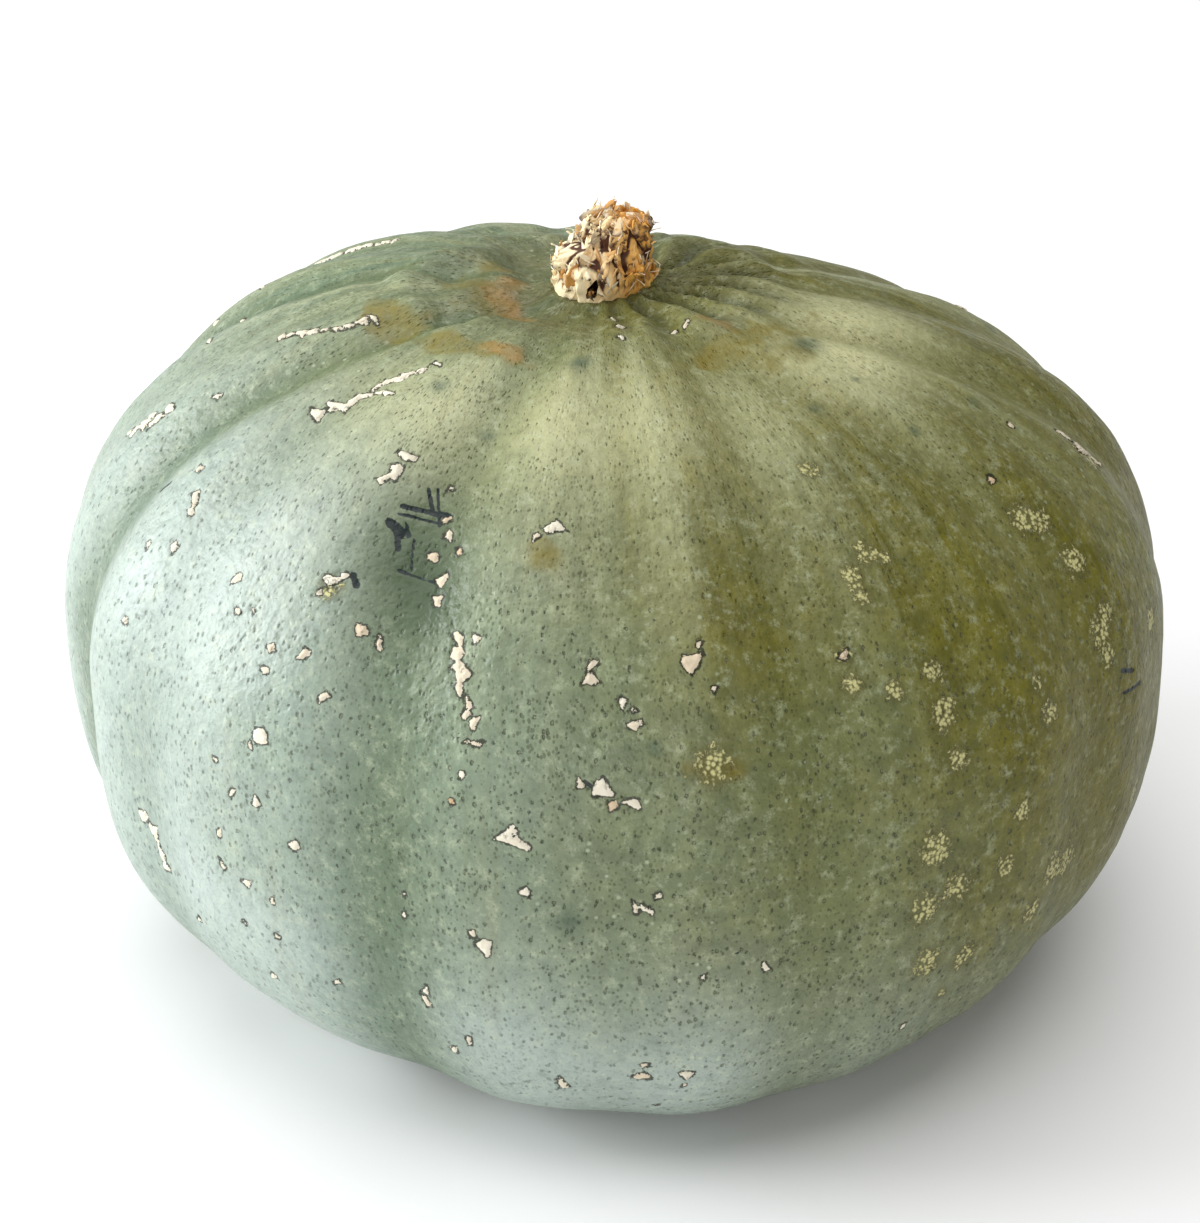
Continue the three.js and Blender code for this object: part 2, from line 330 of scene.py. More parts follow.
# Mottled patches of pale yellow specks, most of them on the right: azimuth, polar angle, radius.
SPECKLED = [
    (31, 52, 4), (33, 53, 3), (28, 54, 4), (28, 57, 3.5), (24, 64, 3), (24, 68, 4), (28, 70, 3.5),
    (33, 69, 4),
    (33, 75, 5.5), (46, 81, 4.5), (45, 76, 3), (34, 82, 4.5), (31, 91, 7), (34, 95, 6), (30, 96, 6),
    (42, 91, 4),
    (40, 95, 4.5), (31, 104, 6), (36, 106, 5), (34, 112, 3), (48, 99, 6), (51, 100, 6), (45, 104, 5),
    (56, 56, 6),
    (58, 58, 5), (59, 65, 6), (58, 76, 6), (60, 74, 4), (58, 80, 4), (9, 76, 6.5), (78, 58, 7), (30, 40, 4),
    (70, 82, 5), (95, 70, 6), (101, 88, 7), (118, 64, 5), (140, 90, 6), (-32, 57, 4), (66, 100, 6),
]

# ---------------------------------------------------------------------------------------------
# The fruit's skin as one closed mesh: an even ball of triangles, split finer over the crown's
# folds and at the marks, then shaped as the rind with its relief.
# ---------------------------------------------------------------------------------------------
BALL_LEVEL = 7
CROWN_REACH = 58 * MM
CROWN_EDGE = 1.5 * MM
MARK_EDGE = 0.62 * MM
SPLIT_ROUNDS = 3


def directions_of(ball):
    return np.array([corner.co.normalized() for corner in ball.verts])


def wanted_edge(at):
    """How long a triangle's edge may be at each point."""
    edge = np.full(len(at), 1.0)
    crown_middle = np.array([*CROWN_SHIFT, SHOULDER_HEIGHT - HOLLOW_DEPTH])
    from_crown = np.linalg.norm(at - crown_middle, axis=1)
    edge[from_crown < CROWN_REACH] = CROWN_EDGE
    for chip in chips:
        near = np.linalg.norm(at - chip["middle"], axis=1) < chip["reach"] - MARK_REACH * 0.6
        edge[near] = MARK_EDGE
    for azimuth, polar, end_azimuth, end_polar, half_width in SCRATCHES:
        ends = rind_points(np.array([azimuth, end_azimuth]), np.array([polar, end_polar]))
        edge[distance_to_line(at, *ends) < (half_width + 0.8) * MM] = MARK_EDGE
    return edge


def distance_to_line(at, start, end):
    along = end - start
    share = np.clip((at - start) @ along / (along @ along), 0, 1)
    return np.linalg.norm(at - start - share[:, None] * along, axis=1)


ball = bmesh.new()
bmesh.ops.create_icosphere(ball, subdivisions=BALL_LEVEL, radius=1)
for _ in range(SPLIT_ROUNDS):
    at = rind_points(*angles_of(directions_of(ball)))
    limit = wanted_edge(at)
    pairs = np.array([[end.index for end in edge.verts] for edge in ball.edges])
    lengths = np.linalg.norm(at[pairs[:, 0]] - at[pairs[:, 1]], axis=1)
    too_long = lengths > 1.35 * limit[pairs].min(axis=1)
    ball.edges.ensure_lookup_table()
    marked = [ball.edges[index] for index in np.flatnonzero(too_long)]
    bmesh.ops.subdivide_edges(ball, edges=marked, cuts=1)
    bmesh.ops.triangulate(ball, faces=ball.faces)
    ball.verts.index_update()
direction = directions_of(ball)
azimuth, polar = angles_of(direction)
points = rind_points(azimuth, polar)
rind_mesh = bpy.data.meshes.new("rind")
ball.to_mesh(rind_mesh)
ball.free()
rind_mesh.vertices.foreach_set("co", points.ravel())
rind_mesh.update()
normals = np.zeros(len(points) * 3)
rind_mesh.vertices.foreach_get("normal", normals)
normals = normals.reshape(-1, 3)


def lumps(at, size, seed, detail=1):
    """Smooth random unevenness between about -1 and 1, with lumps of about this size."""
    shift = Vector((seed * 7.3, seed * 3.1, seed * 5.7))
    total = np.zeros(len(at))
    for octave in range(detail):
        scale = 2 ** octave / size
        total += np.array([noise.noise(Vector(p) * scale + shift) for p in at]) / 2 ** octave
    return total


# Broad unevenness, pebbling, and the folds and bumps round the stem.
relief = 0.7 * MM * lumps(points, 38 * MM, 1) + 0.28 * MM * lumps(points, 13 * MM, 2)
relief += 0.10 * MM * lumps(points, 5 * MM, 3)
from_stem = np.hypot(points[:, 0] - CROWN_SHIFT[0], points[:, 1] - CROWN_SHIFT[1])
right_of_stem = bell(turn_between(azimuth, 85), 60)
left_of_stem = bell(turn_between(azimuth, -100), 80)
behind_stem = bell(turn_between(azimuth, 170), 70)
on_crown = np.where(polar < 90, 1, 0)
near_stem = on_crown * ease(from_stem, 10 * MM, 15 * MM) * (1 - ease(from_stem, 34 * MM, 58 * MM))
folds = np.sin(np.radians(azimuth) * 21 + 5 * lumps(points, 24 * MM, 4))
relief += 2.6 * MM * folds * near_stem * right_of_stem
relief += 0.25 * MM * folds * near_stem
knobbly = on_crown * ease(from_stem, 15 * MM, 26 * MM) * (1 - ease(from_stem, 52 * MM, 74 * MM))
relief += 4.2 * MM * lumps(points, 14 * MM, 5) * knobbly * np.maximum(left_of_stem, 0.8 * behind_stem)
rim = on_crown * bell(turn_between(azimuth, -55), 42)
rim_radius = 50 * MM + 3 * MM * lumps(points, 30 * MM, 6)
relief -= 1.6 * MM * rim * (1 - ease(
    from_stem, rim_radius - 5 * MM, rim_radius + 3 * MM,
)) * ease(from_stem, 14 * MM, 30 * MM)

# The blossom end's scar: a low corky button in the dimple.
BUTTON_RADIUS = 9 * MM
from_blossom = np.hypot(points[:, 0], points[:, 1])
button = np.where(polar > 90, 1 - ease(from_blossom, BUTTON_RADIUS * 0.75, BUTTON_RADIUS), 0)
relief += button * (1.2 * MM + 0.7 * MM * lumps(points, 3 * MM, 7))

# Marks: how far inside a chip each point is, its tone, and how it lifts off the skin.
chip_depth = np.full(len(points), -MARK_REACH)
chip_tone = np.zeros(len(points))
chip_lift = np.zeros(len(points))
for chip in chips:
    away = points - chip["middle"]
    near = np.flatnonzero(np.linalg.norm(away, axis=1) < chip["reach"])
    flat = np.stack([away[near] @ chip["along"], away[near] @ chip["across"]], axis=-1)
    inside = (chip["distance"] - flat @ chip["facing"].T).min(axis=1)
    better = inside > chip_depth[near]
    kept = near[better]
    chip_depth[kept] = inside[better]
    chip_tone[kept] = chip["tone"]
    chip_lift[kept] = flat[better] @ chip["tilt"]
lifted = ease(chip_depth, 0, CHIP_EDGE)
rim_groove = bell(chip_depth + 0.15 * MM, 0.35 * MM)
relief += lifted * (CHIP_LIFT + chip_lift) - rim_groove * CHIP_RIM_DEPTH
bruise = bell(turn_between(azimuth, BRUISE[0]) / BRUISE[2], 1) * bell((polar - BRUISE[1]) / BRUISE[3], 1)
bruise += 0.8 * bell(turn_between(azimuth, -20), 4) * bell(polar - 57, 7)
relief -= 0.9 * MM * bruise
scratch = np.zeros(len(points))
for start_azimuth, start_polar, end_azimuth, end_polar, half_width in SCRATCHES:
    ends = rind_points(np.array([start_azimuth, end_azimuth]), np.array([start_polar, end_polar]))
    scratch = np.maximum(scratch, 1.5 - distance_to_line(points, *ends) / (half_width * MM))
relief -= 0.25 * MM * np.clip(scratch, 0, 1)
spot = np.zeros(len(points))
for spot_azimuth, spot_polar, radius in SPOTS:
    middle = rind_points(np.array([spot_azimuth]), np.array([spot_polar]))[0]
    spot = np.maximum(spot, bell(np.linalg.norm(points - middle, axis=1), radius * MM))
speckled = np.zeros(len(points))
for patch_azimuth, patch_polar, radius in SPECKLED:
    middle = rind_points(np.array([patch_azimuth]), np.array([patch_polar]))[0]
    speckled = np.maximum(speckled, bell(np.linalg.norm(points - middle, axis=1), radius * MM))

# Sun and shade as it grew: the left and the foot keep their pale blue bloom, the right ripened
# olive. The bloom is laid whiter on the left and at the foot, partly as a painted reflection.
ripe = ease(azimuth, -38, 55) * (1 - ease(azimuth, 120, 178)) * (1 - 0.35 * ease(polar, 95, 130))
ripe += 0.35 * bell(turn_between(azimuth, 14), 9) * (1 - ease(polar, 50, 80))
ripe += 0.45 * bell(turn_between(azimuth, 0), 75) * (1 - ease(polar, 30, 78))
ripe = np.clip(ripe, 0, 1)
# The bloom mask: partly the skin's own pale bloom and partly a painted reflection.
bloom_and_sheen = bell(turn_between(azimuth, -62), 40) * ease(polar, 18, 60)
bloom_and_sheen += (
    0.95 * ease(polar, 88, 118) * (ease(azimuth, -178, -110) - ease(azimuth, -15, 55))
    + 0.12 * ease(polar, 100, 130)
)
bloom_and_sheen = np.clip(bloom_and_sheen, 0, 1)
furrow_shade = sum(
    depth / 4 * bell(

        turn_between(
            azimuth, at + swing * np.where(polar < 90, np.cos(np.radians(polar)), 0) ** SWING_POWER,
        ),
        width,
    )
    for at, swing, depth, width in FURROWS
)
furrow_shade = furrow_shade * (1 + 0.3 * ease(polar, 65, 105))
stain = (
    bell(turn_between(azimuth, -68), 9) * bell(polar - 22, 3)
    + bell(turn_between(azimuth, -46), 8) * bell(polar - 21.5, 2)
)
stain += bell(turn_between(azimuth, -30), 12) * bell(polar - 20.5, 1.6)
stain += bell(turn_between(azimuth, 44), 24) * bell(polar - 21, 5) * 0.8
stain += bell(turn_between(azimuth, -80), 34) * bell(polar - 12, 4) * 0.8
stain += (
    bell(turn_between(azimuth, -8), 2.6) * bell(polar - 48.5, 2.6)
    + bell(turn_between(azimuth, 9), 3.4) * bell(polar - 76, 2.8)
)
ragged = lumps(points, 9 * MM, 9) + 0.7 * lumps(points, 3.5 * MM, 10)
stain = ease(stain + 0.55 * ragged, 0.3, 0.75) * np.clip(stain * 4, 0, 1)

rusty = (
    bell(turn_between(azimuth, -76), 26) * bell(polar - 9.5, 2.2)
    + bell(turn_between(azimuth, 42), 5) * bell(polar - 16, 2.5)
)
rusty += bell(turn_between(azimuth, -28), 9) * bell(polar - 20, 1.5)
rusty = ease(rusty + 0.5 * ragged, 0.35, 0.8) * np.clip(rusty * 4, 0, 1) + button

final = points + normals * relief[:, None]
fruit_low, fruit_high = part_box("fruit")
lift = fruit_low.z - final[:, 2].min()
middle = (fruit_low + fruit_high) / 2
shape_middle = (points.min(axis=0) + points.max(axis=0)) / 2
girth_centre = np.array([middle.x - shape_middle[0], middle.y - shape_middle[1], lift])
rind_mesh.vertices.foreach_set("co", (final + girth_centre).ravel())
rind_mesh.update()
rind_mesh.polygons.foreach_set("use_smooth", [True] * len(rind_mesh.polygons))


def store(mesh, name, values):
    layer = mesh.attributes.new(name, "FLOAT", "POINT")
    layer.data.foreach_set("value", np.asarray(values, np.float32))


store(rind_mesh, "chip_depth", chip_depth / MM)
store(rind_mesh, "chip_tone", chip_tone)
store(rind_mesh, "bruise", bruise)
store(rind_mesh, "scratch", scratch)
store(rind_mesh, "spot", spot)
store(rind_mesh, "speckled", speckled)
store(rind_mesh, "ripe", ripe)
store(rind_mesh, "bloom_and_sheen", bloom_and_sheen)
# A painted sheen: a whitish-blue painted highlight on the left side.
store(rind_mesh, "painted_sheen", bell(turn_between(azimuth, -52), 15) * bell(polar - 73, 22))
crown_shade = (1 - ease(from_stem, 24 * MM, 58 * MM)) * on_crown
crown_light = 0.8 * bell(polar - 30, 9) * bell(turn_between(azimuth, -14), 36)
crown_light += 1.3 * bell(polar - 27, 8) * bell(turn_between(azimuth, 64), 22)
store(rind_mesh, "crown_light", crown_light)
store(rind_mesh, "crown_shade", crown_shade)
store(rind_mesh, "furrow_shade", furrow_shade)
store(rind_mesh, "stain", stain)
store(rind_mesh, "rusty", np.clip(rusty, 0, 1))
store(rind_mesh, "height", 1 - polar / 180)
# Painted shade in the troughs of the crown's folds, right of the stem.
store(rind_mesh, "crown_fold_shade", near_stem * right_of_stem * np.clip(-folds, 0, 1))
turn = np.radians(azimuth)
profile_angles = np.linspace(0, 180, 721)
profile = rind_points(np.full(721, 11.0), profile_angles)
travelled = np.concatenate([[0], np.cumsum(np.linalg.norm(np.diff(profile, axis=0), axis=1))])
down_rib = np.interp(polar, profile_angles, travelled) / GIRTH_RADIUS
along_ribs = np.stack([np.sin(turn), -np.cos(turn), down_rib], axis=-1)
layer = rind_mesh.attributes.new("along_ribs", "FLOAT_VECTOR", "POINT")
layer.data.foreach_set("vector", along_ribs.astype(np.float32).ravel())

fruit = bpy.data.objects.new("rind", rind_mesh)
bpy.context.scene.collection.objects.link(fruit)

# ---------------------------------------------------------------------------------------------
# The rind's finish: waxy skin, blue-green where the bloom lies and olive where it ripened, with
# pale streaks down the ribs, thousands of dark pores, and pale cork where the skin broke. Painted
# light and shade lie on it too: a painted sheen and reflection on the left, painted shade in the
# furrows, round the stem and in the crown's folds, painted light on the crown, and painted shadow
# round the flakes.
# ---------------------------------------------------------------------------------------------
def new_finish(name):
    material = bpy.data.materials.new(name)
    material.use_nodes = True
    tree = material.node_tree
    return material, tree, tree.nodes["Principled BSDF"]


def wire(tree, kind, inputs, **settings):
    """A new node with these settings, whose inputs are numbers, colours or other sockets."""
    node = tree.nodes.new(kind)
    for name, value in settings.items():
        setattr(node, name, value)
    for name, value in inputs.items():
        if isinstance(value, bpy.types.NodeSocket):
            tree.links.new(value, node.inputs[name])
        else:
            node.inputs[name].default_value = value
    return node


def mark_of(tree, name):
    return wire(tree, "ShaderNodeAttribute", {}, attribute_name=name).outputs["Fac"]


def sum_up(tree, operation, first, second=0.0, third=0.0, clamp=False):
    node = wire(
        tree, "ShaderNodeMath", {0: first, 1: second, 2: third}, operation=operation, use_clamp=clamp,
    )
    return node.outputs[0]


def between(tree, value, low, high):
    """0 where the value is at low, 1 where it is at high, smooth between."""
    node = wire(tree, "ShaderNodeMapRange", {"Value": value, "From Min": low, "From Max": high},
                interpolation_type="SMOOTHSTEP")
    return node.outputs["Result"]


def paint(tree, share, under, over):
    node = tree.nodes.new("ShaderNodeMix")
    node.data_type = "RGBA"
    for socket, value in ((node.inputs[0], share), (node.inputs[6], under), (node.inputs[7], over)):
        if isinstance(value, bpy.types.NodeSocket):
            tree.links.new(value, socket)
        else:
            socket.default_value = value
    return node.outputs[2]


def colour(red, green, blue):
    """A colour given as it looks on a screen, from 0 to 255, as the linear one that a shader takes."""
    screen = np.array([red, green, blue]) / 255
    linear = np.where(screen <= 0.04045, screen / 12.92, ((screen + 0.055) / 1.055) ** 2.4)
    return (*linear.tolist(), 1.0)


rind_finish, skin, skin_shader = new_finish("waxy_rind")
place = wire(skin, "ShaderNodeTexCoord", {}).outputs["Object"]
ribs = wire(skin, "ShaderNodeAttribute", {}, attribute_name="along_ribs").outputs["Vector"]
long_ribs = wire(skin, "ShaderNodeMapping", {"Vector": ribs, "Scale": (1, 1, 0.12)}).outputs["Vector"]
pore_ribs = wire(skin, "ShaderNodeMapping", {"Vector": ribs, "Scale": (1, 1, 0.72)}).outputs["Vector"]


def cloud(tree, vector, scale, detail=2.0, roughness=0.5, distortion=0.0):
    node = wire(tree, "ShaderNodeTexNoise",
                {
                    "Vector": vector, "Scale": scale, "Detail": detail, "Roughness": roughness,
                    "Distortion": distortion,
                })
    return node.outputs["Fac"]


# Base colour: bluish green, olive, and the pale bloom over them, whiter on the left partly as a
# painted reflection.
blotches = cloud(skin, place, 22, 3)
fine_blotches = cloud(skin, place, 160, 2)
ripe_share = sum_up(
    skin, "ADD", mark_of(skin, "ripe"), sum_up(skin, "MULTIPLY_ADD", blotches, 0.7, -0.35), clamp=True,
)
green = paint(skin, between(skin, fine_blotches, 0.35, 0.7), colour(101, 120, 96), colour(118, 137, 110))
olive = paint(skin, between(skin, fine_blotches, 0.35, 0.7), colour(86, 82, 6), colour(106, 100, 14))
base = paint(skin, ripe_share, green, olive)
streaks = between(skin, cloud(skin, long_ribs, 22, 5, 0.65, 0.4), 0.38, 0.75)
broad_streaks = between(skin, cloud(skin, long_ribs, 7, 2), 0.4, 0.68)
upper_share = between(skin, mark_of(skin, "height"), 0.55, 0.85)
base = paint(
    skin, sum_up(skin, "MULTIPLY", streaks, sum_up(skin, "MULTIPLY_ADD", upper_share, 0.45, 0.08)), base,
    colour(170, 172, 128),
)
base = paint(
    skin, sum_up(skin, "MULTIPLY", broad_streaks, sum_up(skin, "MULTIPLY_ADD", upper_share, 0.5, 0.1)),
    base, colour(168, 172, 130),
)
fine_streaks = between(skin, cloud(skin, long_ribs, 60, 4, 0.7, 0.3), 0.42, 0.66)
fine_share = sum_up(skin, "MULTIPLY", fine_streaks, sum_up(skin, "MULTIPLY_ADD", upper_share, 0.6, 0.08))
base = paint(skin, fine_share, base, colour(102, 108, 70))
brown_streaks = between(skin, cloud(skin, long_ribs, 17, 3, 0.6), 0.52, 0.75)
base = paint(skin, sum_up(skin, "MULTIPLY", brown_streaks, 0.4), base, colour(104, 102, 48))
# Pale bloom, partly the skin's own and partly a painted reflection on the left and the foot.
bloom_and_sheen_share = sum_up(
    skin, "MULTIPLY", mark_of(skin, "bloom_and_sheen"), sum_up(skin, "MULTIPLY_ADD", blotches, 0.8, 0.25), clamp=True,
)
base = paint(skin, sum_up(skin, "MULTIPLY", bloom_and_sheen_share, 0.96), base, colour(188, 201, 198))
# The painted sheen: a whitish-blue painted highlight over the ribs on the left.
base = paint(
    skin, sum_up(skin, "MULTIPLY", mark_of(skin, "painted_sheen"), sum_up(skin, "MULTIPLY", blotches, 0.25)),
    base, colour(222, 230, 238),
)
base = paint(skin, sum_up(skin, "MULTIPLY", mark_of(skin, "crown_shade"), 0.85), base, colour(94, 92, 46))
base = paint(skin, sum_up(skin, "MULTIPLY", mark_of(skin, "crown_light"), 0.8), base, colour(200, 199, 152))
# Painted shade down the furrows.
furrow_shade_colour = paint(skin, ripe_share, colour(72, 94, 64), colour(100, 98, 40))
base = paint(skin, sum_up(skin, "MULTIPLY", mark_of(skin, "furrow_shade"), 0.6), base, furrow_shade_colour)
# Painted shade in the troughs of the crown's folds.
base = paint(skin, sum_up(skin, "MULTIPLY", mark_of(skin, "crown_fold_shade"), 1.0), base, colour(26, 38, 32))

# Pores: dark green dots with a paler ring, drawn out a little along the ribs.
pores = wire(
    skin, "ShaderNodeTexVoronoi", {"Vector": pore_ribs, "Scale": 74.0, "Randomness": 1.0}, feature="F1",
)
pore_size = sum_up(skin, "MULTIPLY_ADD", cloud(skin, place, 600, 3, 0.8), 0.95, -0.34)
pore_size = sum_up(skin, "MULTIPLY_ADD", upper_share, -0.06, pore_size)
pore = between(skin, sum_up(skin, "SUBTRACT", pores.outputs["Distance"], pore_size), 0.07, -0.03)
small_pores = wire(skin, "ShaderNodeTexVoronoi", {"Vector": pore_ribs, "Scale": 125.0}, feature="F1")
small_size = sum_up(skin, "MULTIPLY_ADD", cloud(skin, place, 60, 3, 0.7), 0.7, -0.14)
small_pore = between(
    skin, sum_up(skin, "SUBTRACT", small_pores.outputs["Distance"], small_size), 0.12, -0.04,
)
dull_pores = sum_up(
    skin, "MAXIMUM", sum_up(skin, "MULTIPLY", mark_of(skin, "bloom_and_sheen"), 0.76),
    sum_up(skin, "MULTIPLY", ripe_share, 0.45),
)
pore_clearness = sum_up(
    skin, "SUBTRACT", 1.02, sum_up(skin, "MULTIPLY_ADD", upper_share, 0.12, dull_pores), clamp=True,
)
small_pore_colour = paint(skin, ripe_share, colour(66, 80, 52), colour(66, 62, 22))
pore_colour = paint(skin, ripe_share, colour(40, 56, 38), colour(54, 50, 20))
base = paint(
    skin, sum_up(skin, "MULTIPLY", small_pore, sum_up(skin, "MULTIPLY", pore_clearness, 0.75)), base,
    small_pore_colour,
)
base = paint(skin, sum_up(skin, "MULTIPLY", pore, pore_clearness), base, pore_colour)
pore_middle = between(skin, sum_up(skin, "SUBTRACT", pores.outputs["Distance"], pore_size), -0.03, -0.1)
base = paint(
    skin, sum_up(skin, "MULTIPLY", sum_up(skin, "MULTIPLY", pore_middle, pore_clearness), 0.6), base,
    colour(128, 138, 100),
)
mottle = cloud(skin, place, 250, 5, 0.8)
base = paint(
    skin, sum_up(skin, "MULTIPLY", between(skin, mottle, 0.5, 0.72), 0.34), base, colour(58, 70, 42),
)
base = paint(
    skin, sum_up(skin, "MULTIPLY", between(skin, mottle, 0.5, 0.3), 0.3), base, colour(196, 204, 172),
)
lights = wire(skin, "ShaderNodeTexVoronoi", {"Vector": place, "Scale": 210.0}, feature="F1")
light_dot = sum_up(
    skin, "MULTIPLY", between(skin, lights.outputs["Distance"], 0.16, 0.05),
    between(skin, blotches, 0.45, 0.65),
)
base = paint(skin, sum_up(skin, "MULTIPLY", light_dot, 0.5), base, colour(190, 200, 170))

# Stains, spots, the bruise and its scratches, specks and flakes.
base = paint(
    skin, sum_up(skin, "MULTIPLY", mark_of(skin, "stain"), sum_up(skin, "MULTIPLY", fine_blotches, 1.3)),
    base, colour(116, 104, 34),
)
base = paint(
    skin, sum_up(skin, "MULTIPLY", mark_of(skin, "rusty"), sum_up(skin, "MULTIPLY", fine_blotches, 0.95)),
    base, colour(160, 122, 66),
)
base = paint(skin, sum_up(skin, "MULTIPLY", mark_of(skin, "spot"), 0.75), base, colour(52, 74, 56))
base = paint(skin, sum_up(skin, "MULTIPLY", mark_of(skin, "bruise"), 0.85), base, colour(66, 82, 56))
curdled = wire(skin, "ShaderNodeTexVoronoi", {"Vector": place, "Scale": 900.0}, feature="F1")
curd = between(skin, curdled.outputs["Distance"], 0.75, 0.35)
speck_share = between(
    skin,
    sum_up(skin, "MULTIPLY_ADD", cloud(skin, place, 420, 5, 0.8, 0.6), 2.0, mark_of(skin, "speckled")),
    1.57, 1.72,
)
base = paint(
    skin, sum_up(skin, "MULTIPLY", between(skin, mark_of(skin, "speckled"), 0.2, 0.8), 0.6), base,
    colour(84, 82, 40),
)
base = paint(skin, sum_up(skin, "MULTIPLY", speck_share, curd), base, colour(190, 185, 128))
scratch_at = sum_up(
    skin, "MULTIPLY_ADD", cloud(skin, place, 500, 3, 0.7), 1.4,
    sum_up(skin, "SUBTRACT", mark_of(skin, "scratch"), 0.7),
)
base = paint(
    skin, sum_up(skin, "MULTIPLY", between(skin, scratch_at, 0.5, 0.75), 1.0), base, colour(20, 34, 32),
)
chip_at = sum_up(
    skin, "MULTIPLY_ADD", cloud(skin, place, 760, 4, 0.75), 2.2,
    sum_up(skin, "SUBTRACT", mark_of(skin, "chip_depth"), 1.05),
)
# Dark rims round the flakes: their own dark broken edges and painted shadow, spread raggedly.
chip_shadow_at = sum_up(
    skin, "MULTIPLY_ADD", cloud(skin, place, 420, 3, 0.7), 2.6, sum_up(skin, "SUBTRACT", chip_at, 1.3),
)
chip_rim_and_shadow = sum_up(
    skin, "MULTIPLY",
    sum_up(skin, "MAXIMUM", between(skin, chip_at, -0.5, -0.12), between(skin, chip_shadow_at, -0.6, -0.2)), 0.92,
)
base = paint(skin, chip_rim_and_shadow, base, colour(40, 42, 28))
chip_colour = paint(skin, mark_of(skin, "chip_tone"), colour(228, 224, 206), colour(190, 156, 112))
chip_colour = paint(
    skin, sum_up(skin, "MULTIPLY", cloud(skin, place, 500, 3), 0.5), chip_colour, colour(200, 184, 158),
)
chip_share = between(skin, chip_at, 0.0, 0.12)
base = paint(skin, chip_share, base, chip_colour)
skin.links.new(base, skin_shader.inputs["Base Color"])

# Gloss: waxy, rougher in random patches and on the cork, and less shiny where it ripened.
gloss = sum_up(skin, "MULTIPLY_ADD", cloud(skin, place, 90, 3), 0.22, 0.34)
gloss = sum_up(skin, "ADD", gloss, sum_up(skin, "MULTIPLY", chip_share, 0.35), clamp=True)
skin.links.new(gloss, skin_shader.inputs["Roughness"])
shine = sum_up(skin, "MULTIPLY_ADD", ripe_share, -0.3, 0.48)
skin.links.new(shine, skin_shader.inputs["Specular IOR Level"])

# Fine relief: pitted pores, orange peel, and raised specks.
peel = cloud(skin, place, 420, 3)
texture_height = sum_up(skin, "MULTIPLY_ADD", pore, -0.6, peel)
dents = between(skin, pores.outputs["Distance"], 0.0, 0.42)
texture_height = sum_up(skin, "MULTIPLY_ADD", dents, 0.3, texture_height)
texture_height = sum_up(skin, "MULTIPLY_ADD", cloud(skin, place, 130, 2), 1.1, texture_height)
texture_height = sum_up(
    skin, "MULTIPLY_ADD", sum_up(skin, "MULTIPLY", speck_share, curd), 0.7, texture_height,
)
bumps = wire(skin, "ShaderNodeBump", {"Height": texture_height, "Strength": 0.9, "Distance": 0.0007})
skin.links.new(bumps.outputs["Normal"], skin_shader.inputs["Normal"])
rind_mesh.materials.append(rind_finish)
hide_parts("fruit")
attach(fruit, "root")

# ---------------------------------------------------------------------------------------------
# The stem's stub. It dried into cork after cutting: a round column with a knob at its left
# front, split into lobes by deep crevices, brown inside and painted darker as shade, and covered
# with curled papery flakes.
# ---------------------------------------------------------------------------------------------
STEM_HEIGHT = 18.8 * MM
STEM_RADIUS = 9.6 * MM
STEM_AXIS = (3.6 * MM, 1 * MM)
STEM_TOP_ROUNDNESS = 5
KNOB_HEIGHT = 12.5 * MM
KNOB_REACH = 8 * MM
KNOB_AZIMUTH = -60
KNOB_WIDTH = 62
STEM_SIDES = 220
STEM_ROWS = 110
FLAKE_COUNT = 420
FIBRE_COUNT = 90
cork_chance = np.random.default_rng(8)
stem_low, stem_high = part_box("stem")
stem_foot = np.array([
    girth_centre[0] + CROWN_SHIFT[0] + STEM_AXIS[0],
    girth_centre[1] + CROWN_SHIFT[1] + STEM_AXIS[1],
    stem_low.z,
])


def stem_surface(turn, rise):
    """Points of the stem's stub: turn in degrees of azimuth, rise from 0 at the foot to 1 on top,
    going on to 2 at the middle of the top."""
    side = np.clip(rise, 0, 1)
    inward = np.clip(rise - 1, 0, 1)
    height = STEM_HEIGHT * side
    over_knob = bell(turn_between(turn, KNOB_AZIMUTH), KNOB_WIDTH)
    knob_share = (1 - np.clip(height / KNOB_HEIGHT, 0, 1) ** 4) ** 0.5
    column = STEM_RADIUS * (1 - 0.10 * np.clip(side, 0, 1) ** STEM_TOP_ROUNDNESS)
    radius = column + KNOB_REACH * over_knob * knob_share
    radius = radius * (1 - inward)
    bearing = np.radians(turn)
    x = radius * np.sin(bearing)
    y = -radius * np.cos(bearing)
    return np.stack([x, y, height], axis=-1)


# The core: lobes and crevices that run up it, and a dented, crumpled top.
turn_grid, rise_grid = np.meshgrid(
    np.arange(STEM_SIDES) * 360 / STEM_SIDES,
    np.concatenate([np.linspace(0, 1, STEM_ROWS), 1 + np.linspace(0.03, 0.97, STEM_ROWS // 3)]),
)
core = stem_surface(turn_grid.ravel(), rise_grid.ravel())
core_rise = rise_grid.ravel()
outward = core * [1, 1, 0]
outward = outward / np.maximum(np.linalg.norm(outward, axis=1), 1e-6)[:, None]
stretched = core * [1, 1, 0.32]
ridges = np.abs(lumps(stretched, 3.6 * MM, 11)) * 2.2
small_ridges = np.abs(lumps(stretched, 1.6 * MM, 12)) * 2
crumple = lumps(core, 4.2 * MM, 13, 2)
on_side = 1 - ease(core_rise, 0.94, 1.1)
push = (ridges - 0.75) * 2.0 * MM + (small_ridges - 0.5) * 0.7 * MM + crumple * 1.0 * MM
at_foot = 1 - ease(core_rise, 0.05, 0.3)
push = np.maximum(push, -0.2 * MM * at_foot - 2 * MM * (1 - at_foot))
